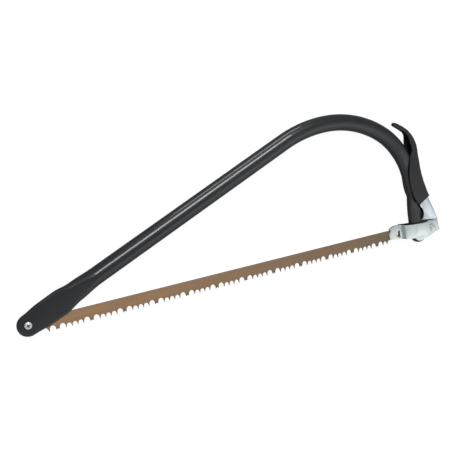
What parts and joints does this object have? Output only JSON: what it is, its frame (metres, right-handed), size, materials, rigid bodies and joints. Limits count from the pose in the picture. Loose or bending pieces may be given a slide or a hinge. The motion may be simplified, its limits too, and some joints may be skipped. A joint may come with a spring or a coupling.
{
  "type": "bow saw",
  "caption": "Tubular bow saw with a pointed nose, raker-toothed blade and an over-centre tension lever with a moulded grip and finger hook.",
  "frame": {"origin": "middle of the underside, with the saw lying flat on its side", "axes": "+X along the blade from the nose to the lever, +Y from the blade to the bow, +Z through the thickness, up from the surface it lies on"},
  "size_m": [0.6042, 0.2024, 0.0222],
  "materials": {
    "charcoal_paint": "gloss charcoal enamel",
    "bronze_lacquer": "satin bronze-brown lacquer on blade steel",
    "zinc_plate": "bright zinc plate, slightly mottled",
    "bright_steel": "bright plated steel",
    "black_grip": "satin black moulded plastic"
  },
  "bodies": {
    "frame": {"frame_tube": "charcoal_paint", "nose_screw": "bright_steel", "nose_washer": "bright_steel", "nose_nut": "bright_steel", "fulcrum_rivet": "bright_steel"},
    "lever": {"tension_lever": "zinc_plate", "lever_grip": "black_grip", "holder_rivet": "bright_steel"},
    "holder": {"blade_holder_near": "zinc_plate", "blade_holder_far": "zinc_plate"},
    "blade": {"saw_blade": "bronze_lacquer"}
  },
  "joints": [
    {"name": "lever_swing", "type": "hinge", "parent": "frame", "child": "lever", "pos_m": [0.26768, -0.08719, 0.0111], "axis": [0, 0, 1], "range_deg": [-100, 0]},
    {"name": "holder_swing", "type": "hinge", "parent": "lever", "child": "holder", "pos_m": [0.28888, -0.08449, 0.0111], "axis": [0, 0, 1], "range_deg": [0, 100]},
    {"name": "blade_swing", "type": "hinge", "parent": "frame", "child": "blade", "pos_m": [-0.28909, -0.07865, 0.0111], "axis": [0, 0, 1], "range_deg": [-90, 0]}
  ],
  "couplings": [
    {"joint": "holder_swing", "follows": "lever_swing", "ratio": -1}
  ]
}
